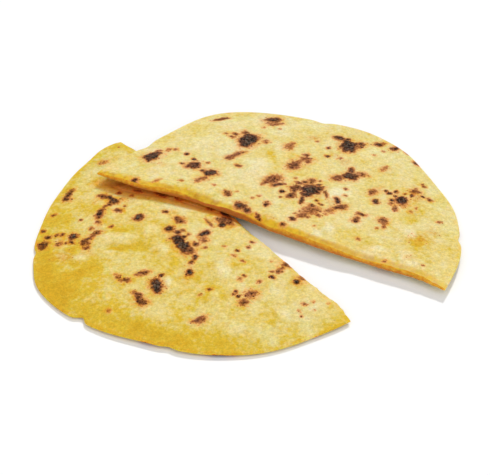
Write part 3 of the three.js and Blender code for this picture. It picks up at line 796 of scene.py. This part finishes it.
crustLook = {
    # Yellows from palest to most baked, and where each stands on the scale of tone
    "yellows": [
        (0.0, (246, 236, 196)), (0.35, (241, 225, 168)), (0.6, (235, 212, 130)),
        (0.8, (226, 190, 58)), (1.0, (220, 174, 38)),
    ],
    # Browning from the first tan to char
    "browning": [
        (0.10, (240, 190, 112)), (0.26, (220, 156, 92)), (0.42, (186, 123, 76)),
        (0.58, (150, 92, 57)), (0.72, (110, 65, 39)), (0.86, (66, 39, 25)), (0.98, (26, 16, 10)),
    ],
    # Marks on deeper yellow crust are more amber
    "ambers": [
        (0.4, (255, 255, 255)), (0.6, (255, 250, 220)),
        (0.8, (252, 243, 150)), (1.0, (250, 240, 124)),
    ],
    # Painted shadow of the right half on the left half: white leaves the crust alone, the rest
    # darken and warm it
    "nookShadow": [
        (0.0, (255, 255, 255)), (0.2, (252, 214, 166)), (0.5, (241, 186, 124)),
        (0.85, (218, 144, 92)), (1.0, (252, 178, 124)),
    ],
    "lip": [(0.35, (198, 146, 18)), (0.62, (226, 190, 50))],
    "lipStrength": 0.9,
    "glow": (248, 208, 184),
    "freckle": (170, 102, 56),
    # Grey of the ash, which is also a painted sheen on the char
    "ashAndSheen": (118, 101, 84),
    "coarseness": 1.0,
    # Noises: features in a metre, detail, roughness and distortion
    "clouds": (110, 3.0, 0.55, 0.3),
    "patchwork": (330, 3.0, 0.6, 0.4),
    "torn": (800, 3.0, 0.6, 0.6),
    "flecked": (1900, 2.0, 0.6),
    "ashAndSheenNoise": (900, 2.0, 0.6, 1.0),
    "freckles": 640,  # cells in a metre
    # How much each counts
    "toneShares": (0.6, 0.5, 0.35),  # clouds, patchwork, clumps
    "shadeShares": (0.5, 0.5),  # meal, torn
    "wanderShares": (1.15, 0.6),  # torn, flecked
    "heightShares": (0.5, 0.6, 0.9, 0.5),  # meal, clumps, patchwork, burn
    "branStrength": 0.3,
    "freckled": 0.62,
    "freckleHeat": 0.8,
    # Where each effect starts, and how strong it gets
    "shade": [(0.38, 0.76), (0.6, 1.0)],
    "glowShare": [(0.35, 0.2), (0.6, 0.75)],
    "freckleEdge": [(0.16, 1.0), (0.36, 0.0)],
    "tornFrom": [(0.0, 0.0), (0.1, 1.0)],
    "ashAndSheenSpots": [(0.5, 0.0), (0.6, 0.7)],
    "ashAndSheenFrom": [(0.74, 0.0), (0.9, 1.0)],
    "cover": [(0.03, 0.0), (0.16, 0.55), (0.32, 1.0)],
    "roughness": [(0.3, 0.8), (0.9, 0.88)],
    "bumpStrength": 0.35,
    "bumpDistance": 0.0004,
    "specular": 0.12,
    "scatter": 0.7,
    "scatterDepth": 0.005,
    "scatterSpread": (1.0, 0.42, 0.12),
}


def makeCrust(grainGroup):
    material, tree = newMaterial("griddledCrust")
    place = addNode(tree, "ShaderNodeTexCoord", {}).outputs["Object"]
    meal, clumps, bran = addGrain(tree, grainGroup, crustLook["coarseness"])
    heat, halo = addAttribute(tree, "scorch"), addAttribute(tree, "halo")

    # Yellow, from creamy to well baked
    clouds = addNoise(tree, place, *crustLook["clouds"])
    patchwork = addNoise(tree, place, *crustLook["patchwork"])
    shares = crustLook["toneShares"]
    tone = addSum(tree, addAttribute(tree, "tone"), *zip((clouds, patchwork, clumps), shares))
    tone = addMath(tree, "SUBTRACT", tone, sum(shares) / 2)  # noises are about a half on average
    base = addColourRamp(tree, tone, crustLook["yellows"])
    tearing = addNoise(tree, place, *crustLook["torn"])
    shade = addSum(tree, *zip((meal, tearing), crustLook["shadeShares"]))
    base = addMix(tree, 1.0, base, addRamp(tree, shade, crustLook["shade"]), "MULTIPLY")
    branShare = addProduct(tree, bran, crustLook["branStrength"])
    base = addMix(tree, branShare, base, sRgb(*crustLook["freckle"]))
    lipShare = addProduct(tree, addAttribute(tree, "lip"), crustLook["lipStrength"])
    base = addMix(tree, lipShare, base, addColourRamp(tree, patchwork, crustLook["lip"]))

    # A tan glow, and small freckles, keep close to the griddle marks
    glow = addProduct(tree, halo, addRamp(tree, clumps, crustLook["glowShare"]))
    base = addMix(tree, glow, base, sRgb(*crustLook["glow"]), "MULTIPLY")
    inputs = {"Vector": place, "Scale": crustLook["freckles"]}
    cells = addNode(tree, "ShaderNodeTexVoronoi", inputs).outputs
    dot = addRamp(tree, cells["Distance"], crustLook["freckleEdge"])
    share = addProduct(tree, halo, crustLook["freckled"])
    near = addMath(tree, "GREATER_THAN", share, cells["Color"])
    freckles = addProduct(tree, dot, near, meal)

    # The marks: torn edges, and mottled within
    noises = (tearing, addNoise(tree, place, *crustLook["flecked"]))
    swings = [addMath(tree, "SUBTRACT", value, 0.5) for value in noises]
    wander = addSum(tree, *zip(swings, crustLook["wanderShares"]))
    wander = addProduct(tree, wander, addRamp(tree, heat, crustLook["tornFrom"]))
    burn = addSum(tree, heat, wander, (freckles, crustLook["freckleHeat"]))
    browning = addColourRamp(tree, burn, crustLook["browning"])
    amber = addColourRamp(tree, tone, crustLook["ambers"])
    browning = addMix(tree, 1.0, browning, amber, "MULTIPLY")
    # Grey ash specks on the hottest char, which also act as a painted sheen for its glossy glints
    ashAndSheen = addRamp(tree, addNoise(tree, place, *crustLook["ashAndSheenNoise"]), crustLook["ashAndSheenSpots"])
    ashAndSheen = addProduct(tree, ashAndSheen, addRamp(tree, heat, crustLook["ashAndSheenFrom"]))
    browning = addMix(tree, ashAndSheen, browning, sRgb(*crustLook["ashAndSheen"]))
    colour = addMix(tree, addRamp(tree, burn, crustLook["cover"]), base, browning)
    # Painted shadow: the right half's shadow on the left half, multiplied over everything, marks
    # included
    nookShadowTint = addColourRamp(tree, addAttribute(tree, "nookShadow"), crustLook["nookShadow"])
    colour = addMix(tree, 1.0, colour, nookShadowTint, "MULTIPLY")

    rough = addRamp(tree, burn, crustLook["roughness"])
    height = addSum(tree, *zip((meal, clumps, patchwork, burn), crustLook["heightShares"]))
    addSurface(tree, crustLook, colour, rough, height)
    return material


crumbLook = {
    "crumb": [(0.35, (212, 148, 30)), (0.62, (228, 182, 56))],
    # Painted shade in the crumb's pits
    "poreShadeColour": (196, 120, 34),
    "foot": (192, 116, 46),
    "coarseness": 1.6,
    "patches": (380, 3.0, 0.6),  # features in a metre, detail, roughness
    "poreShadeEdge": [(0.34, 0.6), (0.46, 0.0)],
    "footUp": [(0.45, 1.0), (0.95, 0.0)],
    "footUneven": 0.3,
    "roughness": 0.8,
    "bumpStrength": 0.6,
    "bumpDistance": 0.0006,
    "specular": 0.2,
    "scatter": 0.8,
    "scatterDepth": 0.004,
    "scatterSpread": (1.0, 0.45, 0.12),
}


def makeCrumb(grainGroup):
    material, tree = newMaterial("cutCrumb")
    place = addNode(tree, "ShaderNodeTexCoord", {}).outputs["Object"]
    meal, clumps = addGrain(tree, grainGroup, crumbLook["coarseness"])[:2]
    patchwork = addNoise(tree, place, *crumbLook["patches"])
    colour = addColourRamp(tree, patchwork, crumbLook["crumb"])
    # Painted shade in the crumb's pits: darker where the meal noise, and so the bump height, is
    # low
    poreShadeShare = addRamp(tree, meal, crumbLook["poreShadeEdge"])
    colour = addMix(tree, poreShadeShare, colour, sRgb(*crumbLook["poreShadeColour"]))
    # Darker towards the bottom of the cut face
    up = addSum(tree, addAttribute(tree, "upTheCut"), (patchwork, crumbLook["footUneven"]))
    foot = addRamp(tree, up, crumbLook["footUp"])
    colour = addMix(tree, foot, colour, sRgb(*crumbLook["foot"]))
    height = addSum(tree, meal, clumps)
    addSurface(tree, crumbLook, colour, crumbLook["roughness"], height)
    return material


studio = {
    "floorColour": (249, 249, 249),
    "floorSize": 12.0,
    "floorDrop": 0.0002,
    "floorRoughness": 0.9,
    "floorSpecular": 0.1,
    "backdrop": (1.0, 1.0, 1.0),
    "sky": (1.0, 1.0, 1.0),
    "skyStrength": 0.28,
    # Strength, spread, degrees to the right of straight behind, degrees above the floor
    "key": (1.66, 6, 14, 46),
    "fill": (1.85, 110, 180, 46),
}


def makeFloor():
    bm = bmesh.new()
    bmesh.ops.create_grid(bm, x_segments=1, y_segments=1, size=studio["floorSize"] / 2)
    bmesh.ops.translate(bm, vec=(0, 0, -studio["floorDrop"]), verts=bm.verts[:])
    shape = bpy.data.meshes.new("floor")
    bm.to_mesh(shape)
    bm.free()
    material = bpy.data.materials.new("paleFloor")
    material.use_nodes = True
    shader = material.node_tree.nodes["Principled BSDF"]
    shader.inputs["Base Color"].default_value = sRgb(*studio["floorColour"])
    shader.inputs["Roughness"].default_value = studio["floorRoughness"]
    shader.inputs["Specular IOR Level"].default_value = studio["floorSpecular"]
    shape.materials.append(material)
    floor = bpy.data.objects.new("floor", shape)
    bpy.context.scene.collection.objects.link(floor)


def makeLights():
    # The camera sees a white backdrop, and only a little light comes from it
    world = bpy.data.worlds.new("studio")
    world.use_nodes = True
    tree = world.node_tree
    tree.nodes.clear()
    inputs = {"Color": (*studio["sky"], 1), "Strength": studio["skyStrength"]}
    glow = addNode(tree, "ShaderNodeBackground", inputs).outputs[0]
    inputs = {"Color": (*studio["backdrop"], 1), "Strength": 1.0}
    seen = addNode(tree, "ShaderNodeBackground", inputs).outputs[0]
    path = addNode(tree, "ShaderNodeLightPath", {}).outputs["Is Camera Ray"]
    both = addNode(tree, "ShaderNodeMixShader", {0: path, 1: glow, 2: seen})
    addNode(tree, "ShaderNodeOutputWorld", {"Surface": both.outputs[0]})
    bpy.context.scene.world = world
    for name in ("key", "fill"):
        strength, spread, around, above = studio[name]
        lamp = bpy.data.lights.new(name, "SUN")
        lamp.energy = strength
        lamp.angle = math.radians(spread)
        light = bpy.data.objects.new(name, lamp)
        around, above = math.radians(around), math.radians(above)
        flat = math.cos(above)
        way = Vector((math.sin(around) * flat, math.cos(around) * flat, math.sin(above)))
        light.location = way
        light.rotation_euler = way.to_track_quat("Z", "Y").to_euler()
        bpy.context.scene.collection.objects.link(light)


camera = {
    "lens": 96.5,
    "sensor": 36,
    "away": 0.5796,
    "above": 36.5,  # degrees
    "aim": (-0.0016, -0.0119, 0.0),
}


def makeCamera():
    data = bpy.data.cameras.new("camera")
    data.lens = camera["lens"]
    data.sensor_width = camera["sensor"]
    above = math.radians(camera["above"])
    way = Vector((0, -math.cos(above), math.sin(above)))
    view = bpy.data.objects.new("camera", data)
    view.location = Vector(camera["aim"]) + way * camera["away"]
    view.rotation_euler = way.to_track_quat("Z", "Y").to_euler()
    bpy.context.scene.collection.objects.link(view)
    bpy.context.scene.camera = view


def middleOf(shapes):
    # Under the middle of the bread's box
    corners = [vertex.co for shape in shapes for vertex in shape.vertices]
    low = [min(corner[i] for corner in corners) for i in range(2)]
    high = [max(corner[i] for corner in corners) for i in range(2)]
    return Vector(((low[0] + high[0]) / 2, (low[1] + high[1]) / 2, 0))


makeCamera()
makeLights()
makeFloor()
bpy.context.scene.view_settings.view_transform = "Standard"
print("studio ready")

grainGroup = makeMaizeGrain()
crust = makeCrust(grainGroup)
crumb = makeCrumb(grainGroup)
print("materials ready")

halves = (leftHalf, rightHalf)
shapes = [makeHalf(half) for half in halves]
middle = middleOf(shapes)
for half, shape in zip(halves, shapes):
    addPiece(half, shape, (crust, crumb), middle)
print("halves placed")
